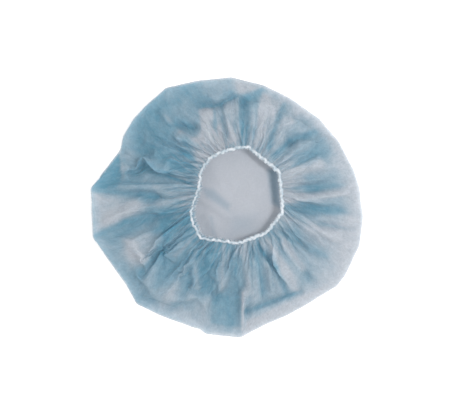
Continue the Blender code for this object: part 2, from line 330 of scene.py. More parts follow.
# Places where the photograph shows the side doubled under itself, which look deep, or lifted in one layer,
# which look pale: corners seen from above, how soft the edge is in metres, and the change of tone.
Patch = namedtuple("Patch", "corners soft tone")
PATCHES = (
    Patch(((-0.1545, 0.0222), (-0.1221, 0.0634), (-0.1206, 0.0296), (-0.1253, 0.0222)), 0.0015, 0.60),
    Patch(((-0.1517, 0.0169), (-0.1147, 0.0127), (-0.0851, 0.0031), (-0.1475, -0.0275)), 0.0080, -0.60),
    Patch(((-0.0819, -0.0064), (-0.0438, -0.0011), (-0.0407, -0.0233), (-0.0682, -0.0400)), 0.0025, 0.50),
    Patch(((-0.1179, -0.0360), (-0.0766, -0.0297), (-0.0777, -0.0529), (-0.1100, -0.0690)), 0.0070, -0.50),
    Patch(((-0.0787, -0.0434), (-0.0407, -0.0349), (-0.0364, -0.0815), (-0.0800, -0.0850)), 0.0100, 0.22),
    Patch(((-0.1168, 0.0666), (-0.0766, 0.1259), (-0.0322, 0.0751), (-0.0322, 0.0412)), 0.0120, 0.36),
    Patch(((-0.1200, 0.0645), (-0.1041, 0.0666), (-0.0978, 0.0433), (-0.1200, 0.0306)), 0.0050, -0.22),
    Patch(((-0.0576, 0.1407), (0.0059, 0.1470), (0.0080, 0.1280), (-0.0322, 0.1153)), 0.0040, 0.27),
    Patch(((0.0091, 0.1460), (0.0419, 0.1364), (0.0122, 0.1280)), 0.0030, -0.40),
    Patch(((-0.0322, 0.1132), (-0.0148, 0.1132), (-0.0163, 0.0751), (-0.0280, 0.0835)), 0.0015, -0.45),
    Patch(((-0.0136, 0.1153), (0.0139, 0.1259), (0.0139, 0.0772), (-0.0068, 0.0666)), 0.0010, -0.36),
    Patch(((0.0148, 0.1259), (0.0408, 0.1364), (0.0281, 0.0687), (0.0144, 0.0666)), 0.0025, 0.28),
    Patch(((0.0408, 0.1301), (0.0673, 0.1217), (0.0440, 0.0751), (0.0302, 0.0941)), 0.0070, -0.50),
    Patch(((0.0778, 0.0835), (0.1138, 0.0878), (0.1286, 0.0582), (0.0757, 0.0497)), 0.0080, 0.20),
    Patch(((0.0651, 0.0031), (0.1328, 0.0010), (0.1434, -0.0074), (0.0673, -0.0095)), 0.0040, 0.18),
    Patch(((-0.0163, -0.1016), (0.0161, -0.1005), (0.0175, -0.1365), (-0.0184, -0.1323)), 0.0020, 0.26),
    Patch(((-0.0978, -0.0836), (-0.0216, -0.1048), (-0.0216, -0.1365), (-0.1020, -0.1069)), 0.0120, -0.25),
    Patch(((-0.0322, -0.0392), (-0.0047, -0.0413), (-0.0110, -0.0836), (-0.0280, -0.0921)), 0.0030, 0.25),
    Patch(((0.0228, -0.1302), (0.1350, -0.0794), (0.1138, -0.0995), (0.0186, -0.1471)), 0.0030, -0.50),
    Patch(
        ((-0.1040, 0.0603), (-0.0490, 0.0580), (-0.0450, 0.0390), (-0.0766, 0.0328), (-0.0980, 0.0500)),
        0.0080,
        0.20,
    ),
    Patch(
        ((-0.1320, 0.0800), (-0.0720, 0.1430), (-0.0040, 0.1500), (-0.0560, 0.1160), (-0.0960, 0.0700)),
        0.0080,
        0.30,
    ),
    Patch(((0.0630, 0.0410), (0.0880, 0.0430), (0.0880, 0.0080), (0.0640, 0.0080)), 0.0060, -0.45),
    Patch(((0.0960, -0.0120), (0.1450, -0.0080), (0.1380, -0.0620), (0.0820, -0.0430)), 0.0120, -0.30),
    Patch(((-0.0430, 0.0780), (-0.0060, 0.0940), (-0.0020, 0.0660), (-0.0340, 0.0470)), 0.0060, -0.60),
    Patch(((-0.0830, 0.0230), (-0.0390, 0.0230), (-0.0410, 0.0010), (-0.0790, -0.0030)), 0.0050, -0.25),
)

# Soft creases of the crown, seen through the mouth, whose lift is in metres, and painted shade beside them:
# darker bands along the creases, and the painted shadow of the mouth's right rim
CROWN_CREASES = (
    Crease(-0.032, 0.012, 0.004, -0.010, 0.0060, 0.0036),
    Crease(-0.022, -0.012, -0.008, -0.036, 0.0050, 0.0030),
    Crease(0.012, 0.050, 0.034, 0.020, 0.0090, 0.0016),
    Crease(0.014, -0.004, 0.040, -0.020, 0.0080, 0.0024),
    Crease(-0.018, 0.048, -0.006, 0.028, 0.0060, 0.0014),
)
CROWN_PAINTED_SHADOWS = (
    Patch(
        ((-0.0290, 0.0230), (-0.0150, 0.0200), (0.0040, 0.0030), (0.0010, -0.0030), (-0.0230, 0.0120)),
        0.0040,
        0.5,
    ),
    Patch(((-0.0200, -0.0100), (-0.0170, -0.0100), (-0.0130, -0.0300), (-0.0160, -0.0300)), 0.0030, 0.35),
    Patch(((0.0060, -0.0080), (0.0340, -0.0100), (0.0280, -0.0260), (0.0040, -0.0300)), 0.0090, 0.25),
    # Painted shadow that the right rim of the mouth casts on the crown
    Patch(((0.0470, 0.0430), (0.0580, 0.0450), (0.0610, 0.0000), (0.0520, 0.0050)), 0.0040, 0.9),
)


def heading(degrees):
    return np.stack([np.cos(np.radians(degrees)), np.sin(np.radians(degrees))], -1)


def eased(x):
    x = np.clip(x, 0.0, 1.0)
    return x * x * (3 - 2 * x)


def shouldered(tone):
    """The tone with its deep end pressed together below 1."""
    room = 1 - SHOULDER
    return np.where(tone > SHOULDER, SHOULDER + room * (1 - np.exp(-(tone - SHOULDER) / room)), tone)


def reach(corners, degrees, spread):
    """The share at angles in degrees, where the loop runs straight from corner to corner, softened."""
    angles = np.array([c.angle for c in corners], float)
    reaches = np.array([c.reach for c in corners])
    total = 0.0
    for step in np.linspace(-spread, spread, 5):
        at = np.mod(degrees + step, 360.0)
        after = np.searchsorted(angles, at, side="right") % len(angles)
        near, far = reaches[after - 1], reaches[after]
        past = np.radians((at - angles[after - 1]) % 360.0)
        left = np.radians((angles[after] - at) % 360.0)
        total = total + near * far * np.sin(past + left) / (near * np.sin(past) + far * np.sin(left))
    return total / 5


def outline_loop():
    """The folded edge seen from above, with the middle of its box at the origin."""
    degrees = np.arange(0, 360, 0.25)
    points = heading(degrees) * (CAP_WIDTH / 2 * reach(OUTLINE, degrees, OUTLINE_SOFT))[:, None]
    return points - (points.max(0) + points.min(0)) / 2


def distance_to_outline(degrees):
    """How far the folded edge is from SHEET_CENTRE, at angles in degrees about it."""
    offset = outline_loop() - SHEET_CENTRE
    angles = np.degrees(np.unwrap(np.arctan2(offset[:, 1], offset[:, 0])))
    radii = np.hypot(offset[:, 0], offset[:, 1])
    at = np.mod(degrees - angles[0], 360.0) + angles[0]
    return np.interp(at, np.append(angles, angles[0] + 360.0), np.append(radii, radii[0]))


def mouth_point(degrees):
    radius = MOUTH_WIDTH / 2 * reach(MOUTH_LINE, degrees, MOUTH_SOFT)
    return MOUTH_MIDDLE + heading(degrees) * radius[..., None]


Sheet = namedtuple("Sheet", "flat faces rim_start")


def mesh_size(radius):
    return CROWN_MESH + (SIDE_MESH - CROWN_MESH) * eased((radius - CROWN_MESH_UP_TO) / MESH_CHANGE)


def ring_faces(inner, outer):
    """Triangles between two rings of (first point, points, angle of the first point in turns of its step)."""
    faces, i, j = [], 0, 0
    while i < inner[1] or j < outer[1]:
        turn_in, turn_out = (i + 1 + inner[2]) / inner[1], (j + 1 + outer[2]) / outer[1]
        a, b = inner[0] + i % inner[1], outer[0] + j % outer[1]
        if j < outer[1] and (i >= inner[1] or turn_out <= turn_in):
            faces.append((a, b, outer[0] + (j + 1) % outer[1]))
            j += 1
        else:
            faces.append((a, b, inner[0] + (i + 1) % inner[1]))
            i += 1
    return faces


def flat_sheet():
    """The sheet as it is cut, about its own middle: rings of even triangles."""
    radii = [0.0]
    while radii[-1] < SHEET_WIDTH / 2 - HEM_WIDTH:
        radii.append(radii[-1] + RING_STEP * mesh_size(radii[-1]))
    radii = np.array(radii) * (SHEET_WIDTH / 2 - HEM_WIDTH) / radii[-1]
    points, rings = [np.zeros((1, 2))], [(0, 1, 0.0)]
    for k, radius in enumerate(radii[1:], 1):
        count = max(6, round(2 * math.pi * radius / mesh_size(radius)))
        shift = 0.5 * (k % 2)
        rings.append((sum(len(p) for p in points), count, shift))
        points.append(radius * heading((np.arange(count) + shift) * 360.0 / count))
    faces = [(0, 1 + i, 1 + (i + 1) % rings[1][1]) for i in range(rings[1][1])]
    for inner, outer in zip(rings[1:], rings[2:]):
        faces += ring_faces(inner, outer)
    flat = np.concatenate(points)
    across = flat[:, 1] / np.maximum(np.hypot(flat[:, 0], flat[:, 1]), 1e-9)
    flat *= (1 - SHORTER * across**2)[:, None]
    return Sheet(flat, np.array(faces), rings[-1][0])


def lobes(degrees, widths):
    """A count that grows by 1 over each lobe of uneven width round the sheet."""
    ends = np.concatenate([[0.0], np.cumsum(widths)]) * 360.0 / np.sum(widths)
    return np.interp(np.mod(degrees, 360.0), ends, np.arange(len(ends)))


def crease_lift(creases, plan, narrowest):
    """The lift that creases add at points seen from above, none of them taken narrower than narrowest."""
    total = np.zeros(len(plan))
    for c in creases:
        start, run = np.array((c.x0, c.y0)), np.array((c.x1 - c.x0, c.y1 - c.y0))
        length = np.hypot(*run)
        offset = plan - start
        along = offset @ run / length
        across = np.abs(offset[:, 0] * run[1] - offset[:, 1] * run[0]) / length
        beyond = np.maximum(np.maximum(-along, along - length), 0.0)
        width = max(c.width, narrowest)
        total += c.lift * np.exp(-(across**2 + beyond**2) / width**2)
    return total


def patch_tone(patches, plan):
    """What patches add to the tone at points seen from above."""
    total = np.zeros(len(plan))
    for patch in patches:
        corners = np.array(patch.corners)
        after = np.roll(corners, -1, 0)
        turn = np.sign(np.sum(corners[:, 0] * after[:, 1] - corners[:, 1] * after[:, 0]))
        outside = np.full(len(plan), -1.0)
        for (x, y), (next_x, next_y) in zip(corners, after):
            normal = turn * np.array((next_y - y, x - next_x)) / math.hypot(next_x - x, next_y - y)
            outside = np.maximum(outside, (plan - (x, y)) @ normal)
        total += patch.tone * (1 - eased(0.5 + outside / (2 * patch.soft)))
    return total


def pleat_lift(degrees, way, plan):
    """Height of the pleats that the simulation starts from: fine ones grow towards the mouth."""
    rng = np.random.default_rng(PLEAT_SEED)
    fine = lobes(degrees, rng.uniform(*FINE_WIDTHS, 2 * FINE_PLEATS))
    lobe = np.minimum(fine.astype(int), 2 * FINE_PLEATS - 1)
    height = rng.uniform(*FINE_HEIGHTS, 2 * FINE_PLEATS)[lobe]
    begins = rng.uniform(*FINE_BEGIN, 2 * FINE_PLEATS)[lobe]
    broad = lobes(degrees, rng.uniform(*BROAD_WIDTHS, 2 * BROAD_FOLDS))
    fine_part = FINE_HEIGHT * height * np.sin(math.pi * fine) * np.clip((way - begins) / FINE_GROW, 0, 1)
    placed = PLACED_HEIGHT * crease_lift(CREASES, plan, SIDE_MESH)
    broad_part = BROAD_HEIGHT * np.sin(math.pi * broad) + placed
    broad_left = 1 - FADED * np.clip((way - BROAD_FADE_FROM) / BROAD_FADE, 0, 1)
    broad_part = broad_part * np.clip(way / BROAD_GROW, 0, 1) * broad_left
    return (fine_part + broad_part) * (1 - FADED * np.clip((way - MOUTH_FADE_FROM) / MOUTH_FADE, 0, 1))


def folded(flat):
    """The sheet's points folded over and drawn in to the mouth, and each one's distance past the fold."""
    distance = np.hypot(flat[:, 0], flat[:, 1])
    degrees = np.degrees(np.arctan2(flat[:, 1], flat[:, 0]))
    turn = distance_to_outline(degrees) + EDGE_ALLOWANCE - FOLD_RADIUS
    across = np.sin(np.radians(degrees))
    cut = (SHEET_WIDTH / 2 - HEM_WIDTH) * (1 - SHORTER * across**2)
    start = SHEET_CENTRE + heading(degrees) * turn[:, None]
    mouth = mouth_point(degrees)
    span = np.linalg.norm(mouth - start, axis=1)
    past = distance - turn
    arc = math.pi * FOLD_RADIUS
    side = cut - turn - arc
    rise = BAND_HEIGHT - 2 * FOLD_RADIUS
    chord = np.hypot(span, rise)
    spare = np.clip(side / chord - 1, 0.0, 0.5)
    bump = chord * np.sqrt(4 * spare) / math.pi
    bent = np.clip(past / FOLD_RADIUS, 0, math.pi)
    way = np.clip((past - arc) / side, 0, 1)
    outward = heading(degrees)
    inward = (mouth - start) / span[:, None]
    crown = SHEET_CENTRE + outward * distance[:, None]
    fold = start + outward * (FOLD_RADIUS * np.sin(bent))[:, None]
    back = start + inward * (span * way)[:, None]
    plan = np.where((past < 0)[:, None], crown, np.where((past < arc)[:, None], fold, back))
    fold_height = FOLD_RADIUS * (1 - np.cos(bent))
    back_height = 2 * FOLD_RADIUS + rise * way + bump * np.sin(math.pi * way) + pleat_lift(degrees, way, plan)
    height = np.where(past < 0, 0.0, np.where(past < arc, fold_height, back_height))
    lowest = SUNK + SIDE_START * np.clip(past / arc, 0, 1)
    return np.column_stack([plan, np.maximum(height, lowest)]), past


def add_mesh(name, points, faces):
    mesh = bpy.data.meshes.new(name)
    mesh.from_pydata([tuple(map(float, p)) for p in points], [], [tuple(map(int, f)) for f in faces])
    obj = bpy.data.objects.new(name, mesh)
    bpy.context.scene.collection.objects.link(obj)
    return obj


def collider(name, face):
    """A level square plate whose facing side fabric can't pass."""
    w = PLATE_HALF
    plate = add_mesh(name, [(-w, -w, 0), (w, -w, 0), (w, w, 0), (-w, w, 0)], [face])
    plate.modifiers.new("collision", "COLLISION")
    plate.collision.thickness_outer = PLATE_SKIN
    return plate


def points_of(obj):
    """The object's points as its modifiers leave them."""
    mesh = obj.evaluated_get(bpy.context.evaluated_depsgraph_get()).data
    points = np.empty(3 * len(mesh.vertices), np.float32)
    mesh.vertices.foreach_get("co", points)
    return points.reshape(-1, 3)


def settle(sheet, start, held):
    """Cloth simulation of the folded sheet, with its held points fixed. Returns its points."""
    cloth_obj = add_mesh("settling", start, sheet.faces)
    cloth_obj.shape_key_add(name="Basis")
    cut = cloth_obj.shape_key_add(name="cut")
    level = np.column_stack([sheet.flat, np.zeros(len(sheet.flat))])
    cut.data.foreach_set("co", level.astype(np.float32).ravel())
    cut.value = 0.0
    pin = cloth_obj.vertex_groups.new(name="held")
    pin.add([int(i) for i in np.flatnonzero(held)], 1.0, "REPLACE")
    table = collider("settling_table", (0, 1, 2, 3))
    press = collider("settling_press", (3, 2, 1, 0))
    for key in PLATE:
        press.location.z = key.height
        press.keyframe_insert("location", index=2, frame=key.frame)
    cloth = cloth_obj.modifiers.new("cloth", "CLOTH")
    fabric = cloth.settings
    fabric.quality = 6
    fabric.mass = 0.05
    fabric.tension_stiffness = fabric.compression_stiffness = 30
    fabric.shear_stiffness = 10
    fabric.bending_stiffness = 0.001
    fabric.tension_damping = fabric.compression_damping = fabric.shear_damping = 3
    fabric.bending_damping = 0.2
    fabric.air_damping = 1.5
    fabric.vertex_group_mass = "held"
    fabric.rest_shape_key = cut
    fabric.effector_weights.gravity = 1.0
    touch = cloth.collision_settings
    touch.use_self_collision = True
    touch.self_distance_min = LAYER_GAP
    touch.distance_min = LAYER_GAP
    touch.collision_quality = 2
    cloth.point_cache.frame_start, cloth.point_cache.frame_end = 1, FRAMES
    for number in range(1, FRAMES + 1):
        bpy.context.scene.frame_set(number)
    settled = points_of(cloth_obj)
    for helper in (cloth_obj, table, press):
        bpy.data.objects.remove(helper)
    bpy.context.scene.frame_set(1)
    return settled


def dress(obj, material):
    obj.data.materials.append(material)
    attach(obj, "root")
    return obj


class Nodes:
    """Short ways to add and join shader nodes."""

    def __init__(self, name):
        self.material = bpy.data.materials.new(name)
        self.material.use_nodes = True
        self.tree = self.material.node_tree
        self.shader = self.tree.nodes["Principled BSDF"]
        self.output = self.tree.nodes["Material Output"]

    def add(self, kind, **values):
        node = self.tree.nodes.new(kind)
        for name, value in values.items():
            setattr(node, name, value)
        return node

    def join(self, source, target):
        self.tree.links.new(source, target)

    def maths(self, operation, first, second, clamp=False):
        node = self.add("ShaderNodeMath", operation=operation, use_clamp=clamp)
        for value, socket in zip((first, second), node.inputs):
            if isinstance(value, (int, float)):
                socket.default_value = value
            else:
                self.join(value, socket)
        return node.outputs[0]

    def noise(self, vector, scale, detail=3.0, stretch=(1.0, 1.0, 1.0), turn=0.0):
        placed = self.add("ShaderNodeMapping")
        placed.inputs["Scale"].default_value = stretch
        placed.inputs["Rotation"].default_value = (0.0, 0.0, math.radians(turn))
        self.join(vector, placed.inputs["Vector"])
        noise = self.add("ShaderNodeTexNoise")
        noise.inputs["Scale"].default_value = scale
        noise.inputs["Detail"].default_value = detail
        self.join(placed.outputs[0], noise.inputs["Vector"])
        return noise.outputs["Fac"]

    def bump(self, height, strength, distance, before=None):
        node = self.add("ShaderNodeBump")
        node.inputs["Strength"].default_value = strength
        node.inputs["Distance"].default_value = distance
        self.join(height, node.inputs["Height"])
        if before is not None:
            self.join(before, node.inputs["Normal"])
        return node.outputs[0]

    def spread(self, value, low, high, to_low, to_high):
        node = self.add("ShaderNodeMapRange", clamp=True)
        for name, number in zip(("From Min", "From Max", "To Min", "To Max"), (low, high, to_low, to_high)):
            node.inputs[name].default_value = number
        self.join(value, node.inputs["Value"])
        return node.outputs[0]

    def blend_colours(self, factor, first, second):
        node = self.add("ShaderNodeMix", data_type="RGBA")
        self.join(factor, node.inputs["Factor"])
        node.inputs["A"].default_value = (*first, 1.0)
        node.inputs["B"].default_value = (*second, 1.0)
        return node.outputs["Result"]


def mouth_streaks(n):
    """Thin gathers that run out from the mouth and wander, from -1 for painted shade to 1 for a painted
    highlight, and how strongly they show.
    """
    place = n.add("ShaderNodeTexCoord").outputs["Object"]
    offset = n.add("ShaderNodeVectorMath", operation="SUBTRACT")
    offset.inputs[1].default_value = (*MOUTH_MIDDLE, 0.0)
    n.join(place, offset.inputs[0])
    level = n.add("ShaderNodeVectorMath", operation="MULTIPLY")
    level.inputs[1].default_value = (1.0, 1.0, 0.0)
    n.join(offset.outputs[0], level.inputs[0])
    length = n.add("ShaderNodeVectorMath", operation="LENGTH")
    n.join(level.outputs[0], length.inputs[0])
    round_it = n.add("ShaderNodeVectorMath", operation="NORMALIZE")
    n.join(level.outputs[0], round_it.inputs[0])
    out = n.maths("MULTIPLY", length.outputs["Value"], STREAKS_OUT)
    along = n.add("ShaderNodeCombineXYZ")
    n.join(out, along.inputs["Z"])
    both = n.add("ShaderNodeVectorMath", operation="ADD")
    n.join(round_it.outputs[0], both.inputs[0])
    n.join(along.outputs[0], both.inputs[1])
    streak = n.spread(n.noise(both.outputs[0], STREAKS_ROUND, 2.0), 0.40, 0.60, -1.0, 1.0)
    least = STREAK_REST * STREAK_LIGHT_AND_SHADE
    near = n.spread(length.outputs["Value"], STREAK_NEAR, STREAK_FAR, STREAK_LIGHT_AND_SHADE, least)
    split = n.add("ShaderNodeSeparateXYZ")
    n.join(round_it.outputs[0], split.inputs[0])
    near = n.maths("MULTIPLY", near, n.spread(split.outputs["X"], 0.0, 1.0, 1.0, RIGHT_STREAKS))
    return streak, near


def crumples(n, place):
    """Flat facets with crisp creases between them, as the fabric keeps from its packing."""
    cells = n.add("ShaderNodeTexVoronoi", feature="DISTANCE_TO_EDGE")
    cells.inputs["Scale"].default_value = CRUMPLE_CELLS
    sway = n.add("ShaderNodeTexNoise")
    sway.inputs["Scale"].default_value = 22.0
    n.join(place, sway.inputs["Vector"])
    moved = n.add("ShaderNodeVectorMath", operation="MULTIPLY_ADD")
    n.join(sway.outputs["Color"], moved.inputs[0])
    moved.inputs[1].default_value = (CRUMPLE_SWAY, CRUMPLE_SWAY, 0.0)
    n.join(place, moved.inputs[2])
    n.join(moved.outputs[0], cells.inputs["Vector"])
    return n.spread(cells.outputs["Distance"], 0.0, 0.4, 0.0, 1.0)


def fabric_material():
    """Thin non-woven fabric: a web of pressed fibres that lets much of the light through."""
    n = Nodes("non_woven_fabric")
    place = n.add("ShaderNodeUVMap", uv_map="cut").outputs[0]
    # The tone that finish_shape leaves: deeper where gathered, with painted highlights and painted shade
    gathered = n.add("ShaderNodeAttribute", attribute_name="gathered").outputs["Fac"]
    side = n.add("ShaderNodeAttribute", attribute_name="side").outputs["Fac"]
    cloud = n.noise(place, 110.0, 4.0)
    streak, near = mouth_streaks(n)
    one_way = n.noise(place, FIBRE_SCALE, 4.0, (1.0, 0.4, 1.0), 24.0)
    other_way = n.noise(place, FIBRE_SCALE, 4.0, (0.4, 1.0, 1.0), -37.0)
    fibres = n.maths("MAXIMUM", one_way, other_way)
    streak = n.maths("MULTIPLY", streak, side)
    # Painted highlights and shade of the thin gathers, which also press a bump, with a random mottle of the
    # tone
    streak_shade_and_mottle = n.maths("ADD", n.maths("MULTIPLY", streak, near), n.spread(cloud, 0.3, 0.7, 0.08, -0.08))
    tone = n.maths("ADD", gathered, streak_shade_and_mottle, clamp=True)
    wall = n.blend_colours(tone, PALE_FABRIC, DEEP_FABRIC)
    # The side's colour and the crown's, which is a copy of the fabric painted darker as shade
    blend = n.add("ShaderNodeMix", data_type="RGBA")
    n.join(side, blend.inputs["Factor"])
    n.join(n.blend_colours(gathered, SHADED_CROWN_FABRIC, CROWN_PAINTED_SHADE), blend.inputs["A"])
    n.join(wall, blend.inputs["B"])
    colour = blend.outputs["Result"]
    n.join(colour, n.shader.inputs["Base Color"])
    n.shader.inputs["Roughness"].default_value = 0.75
    n.shader.inputs["Specular IOR Level"].default_value = 0.25
    n.shader.inputs["Sheen Weight"].default_value = 0.25
    n.shader.inputs["Sheen Roughness"].default_value = 0.5
    fine = n.bump(fibres, 0.35, 0.0004)
    pressed = n.bump(n.maths("MULTIPLY", streak, near), 1.0, 0.0016, fine)
    bump = n.bump(crumples(n, place), CRUMPLE, CRUMPLE_HEIGHT, pressed)
    n.join(bump, n.shader.inputs["Normal"])
    through = n.add("ShaderNodeBsdfTranslucent")
    deeper = n.add("ShaderNodeGamma")
    deeper.inputs["Gamma"].default_value = THROUGH_GAMMA
    n.join(colour, deeper.inputs["Color"])
    n.join(deeper.outputs[0], through.inputs["Color"])
    n.join(bump, through.inputs["Normal"])
    clear = n.add("ShaderNodeBsdfTransparent")
    body = n.add("ShaderNodeMixShader")
    body.inputs[0].default_value = THROUGH
    n.join(n.shader.outputs[0], body.inputs[1])
    n.join(through.outputs[0], body.inputs[2])
    cover = n.maths("ADD", n.spread(cloud, 0.3, 0.7, -0.05, 0.05), n.spread(fibres, 0.45, 0.7, -0.05, 0.08))
    wall_cover = n.spread(gathered, 0.0, 1.0, THIN_COVER, THICK_COVER)
    extra = n.maths("MULTIPLY", n.maths("SUBTRACT", wall_cover, CROWN_COVER), side)
    cover = n.maths("MULTIPLY", cover, n.spread(side, 0.0, 1.0, 0.35, 1.0))
    cover = n.maths("ADD", cover, n.maths("ADD", extra, CROWN_COVER), clamp=True)
    whole = n.add("ShaderNodeMixShader")
    n.join(cover, whole.inputs[0])
    n.join(clear.outputs[0], whole.inputs[1])
    n.join(body.outputs[0], whole.inputs[2])
    n.join(whole.outputs[0], n.output.inputs["Surface"])
    return n.material


def elastic_material():
    n = Nodes("elastic_white")
    place = n.add("ShaderNodeTexCoord").outputs["Object"]
    tone = n.spread(n.noise(place, 260.0, 3.0), 0.35, 0.65, 0.0, 1.0)
    n.join(n.blend_colours(tone, ELASTIC_DEEP, ELASTIC_PALE), n.shader.inputs["Base Color"])
    n.shader.inputs["Roughness"].default_value = 0.7
    n.join(n.bump(n.noise(place, 1500.0, 2.0), 0.5, 0.0005), n.shader.inputs["Normal"])
    return n.material


def closed_tube(name, centres, radii, sides):
    """A tube along a closed line, with its own radius at each point."""
    centres = np.asarray(centres)
    ahead = np.roll(centres, -1, 0) - np.roll(centres, 1, 0)
    ahead /= np.linalg.norm(ahead, axis=1)[:, None]
    outward = np.cross(ahead, (0.0, 0.0, 1.0))
    outward /= np.linalg.norm(outward, axis=1)[:, None]
    upward = np.cross(outward, ahead)
    turn = 2 * math.pi * np.arange(sides) / sides
    ring = outward[:, None] * np.cos(turn)[:, None] + upward[:, None] * np.sin(turn)[:, None]
    points = (centres[:, None] + ring * np.asarray(radii)[:, None, None]).reshape(-1, 3)
    count, faces = len(centres), []
    for i in range(count):
        for k in range(sides):
            a, b = i * sides + k, i * sides + (k + 1) % sides
            c, d = (i + 1) % count * sides + k, (i + 1) % count * sides + (k + 1) % sides
            faces.append((a, c, d, b))
    obj = add_mesh(name, points, faces)
    obj.data.shade_smooth()
    return obj


def summed(waves, degrees):
    """The waves' heights together, at angles in degrees."""
    return sum(w.share * np.sin(np.radians(w.times * degrees + w.shift)) for w in waves)


def band_line(count):
    """Points along the elastic, which rises and falls in slow waves and sways a little from side to side."""
    degrees = np.arange(count) * 360.0 / count
    rise = BAND_RISE * summed(RISE_WAVES, degrees) / sum(w.share for w in RISE_WAVES)
    sway = BAND_SWAY * summed(SWAY_WAVES, degrees)
    plan = mouth_point(degrees) + heading(degrees) * sway[:, None]
    return np.column_stack([plan, BAND_HEIGHT + rise])


def make_elastic():
    """The elastic in the fabric's rolled hem, lumpy from the gathers, with its overlock thread round it."""
    rng = np.random.default_rng(ELASTIC_SEED)
    line = band_line(ROPE_POINTS)
    at = np.arange(ROPE_POINTS)
    sizes = np.resize(rng.uniform(*LUMP_SIZES, LUMPS), LUMPS + 1)
    lumps = np.interp(at, np.linspace(0, ROPE_POINTS, LUMPS + 1), sizes)
    lumps *= 1 + THICKER_RIGHT * np.cos(2 * math.pi * at / ROPE_POINTS)
    rope = closed_tube("elastic_rope", line, ROPE_RADIUS * lumps, ROPE_SIDES)
    fine = band_line(THREAD_TURNS * TURN_POINTS)
    ahead = np.roll(fine, -1, 0) - np.roll(fine, 1, 0)
    ahead /= np.linalg.norm(ahead, axis=1)[:, None]
    outward = np.cross(ahead, (0.0, 0.0, 1.0))
    outward /= np.linalg.norm(outward, axis=1)[:, None]
    upward = np.cross(outward, ahead)
    turn = 2 * math.pi * np.arange(len(fine)) / TURN_POINTS
    size = np.interp(np.arange(len(fine)) / len(fine) * ROPE_POINTS, at, ROPE_RADIUS * lumps) + THREAD_LIFT
    coil = fine + (outward * np.cos(turn)[:, None] + upward * np.sin(turn)[:, None]) * size[:, None]
    thread = closed_tube("overlock_thread", coil, np.full(len(coil), THREAD_RADIUS), THREAD_SIDES)
    return rope, thread


def smoothed(values, faces, rounds):
    """Values at the points, averaged with their neighbours' a number of times."""
    ends = np.concatenate([faces[:, [0, 1]], faces[:, [1, 2]], faces[:, [2, 0]]])
    heads, tails = np.concatenate([ends, ends[:, ::-1]]).T
    count = np.bincount(heads, minlength=len(values))
    for _ in range(rounds):
        values = 0.5 * values + 0.5 * np.bincount(heads, values[tails], len(values)) / count
    return values


def twice_area(corners):
    a, b = corners[:, 1] - corners[:, 0], corners[:, 2] - corners[:, 0]
    return np.abs(a[:, 0] * b[:, 1] - a[:, 1] * b[:, 0])


def gather_share(sheet, points, rounds):
    """The share of its flat area that the fabric lacks in plan: 0 laid flat, near 1 in dense pleats."""
    faces, count = sheet.faces, len(points)
    flat, plan = twice_area(sheet.flat[faces]), twice_area(points[faces][:, :, :2])
    total = sum(np.bincount(faces[:, k], flat, count) for k in range(3))
    seen = sum(np.bincount(faces[:, k], plan, count) for k in range(3))
    return np.clip(1 - smoothed(seen, faces, rounds) / smoothed(total, faces, rounds), 0, 1)


def pale_rim(plan):
    """The open rim that has few gathers, widest on the right: 1 at the folded edge and 0 further in."""
    offset = plan - SHEET_CENTRE
    degrees = np.degrees(np.arctan2(offset[:, 1], offset[:, 0]))
    inside = distance_to_outline(degrees) - np.hypot(offset[:, 0], offset[:, 1])
    off = np.mod(degrees - RIM_WIDEST_AT + 180.0, 360.0) - 180.0
    width = RIM_WIDTH + (RIM_WIDEST - RIM_WIDTH) * np.exp(-((off / RIM_SPREAD) ** 2))
    return 1 - eased(inside / width)


def gather_depth_and_painted_shade(sheet, points):
    """How deep the fabric's blue is at each point, 0 for fabric laid open: deeper where it is gathered, with
    painted shade in the valleys and a painted highlight on the crests.
    """
    broad = gather_share(sheet, points, rounds=10)
    close = gather_share(sheet, points, rounds=2)
    height = points[:, 2].astype(float)
    near = smoothed(height, sheet.faces, rounds=3)
    around = smoothed(height, sheet.faces, rounds=70)
    # Painted shade where the fabric lies below its surroundings, a painted highlight where it rises above
    # them
    valley = np.clip((around - near) / VALLEY_DEPTH, -1, 1)
    return GATHER_TONE * broad + FINE_TONE * close + VALLEY_PAINTED_SHADE * valley


def keep_outline(points):
    """Points moved near the folded edge until it follows the measured outline, as the camera sees it."""
    height = VIEW_WIDTH * LENS / SENSOR
    seen = VIEW_CENTRE + (points[:, :2] - VIEW_CENTRE) * (height / (height - points[:, 2]))[:, None]
    offset = seen - SHEET_CENTRE
    degrees = np.mod(np.degrees(np.arctan2(offset[:, 1], offset[:, 0])), 360.0)
    radius = np.hypot(offset[:, 0], offset[:, 1])
    edge = np.zeros(round(360 / OUTLINE_STEP))
    np.maximum.at(edge, (degrees / OUTLINE_STEP).astype(int) % len(edge), radius)
    middles = (np.arange(len(edge)) + 0.5) * OUTLINE_STEP
    ratio = EDGE_SPREAD * distance_to_outline(middles) / edge
    ratio = 0.25 * np.roll(ratio, 1) + 0.5 * ratio + 0.25 * np.roll(ratio, -1)
    at = np.interp(degrees, middles, ratio, period=360.0)
    share = eased((radius / distance_to_outline(degrees) - OUTLINE_FROM) / OUTLINE_OVER)
    moved = points.copy()
    moved[:, :2] += (points[:, :2] - SHEET_CENTRE) * ((at - 1) * share)[:, None]
    return moved


def hem_width(degrees):
    """How far the hem reaches in past the elastic, at angles about MOUTH_MIDDLE: most on the left."""
    off = np.mod(degrees - HEM_WIDEST_AT + 180.0, 360.0) - 180.0
    return HEM_LEAST + HEM_MORE * np.exp(-((off / HEM_SPREAD) ** 2))


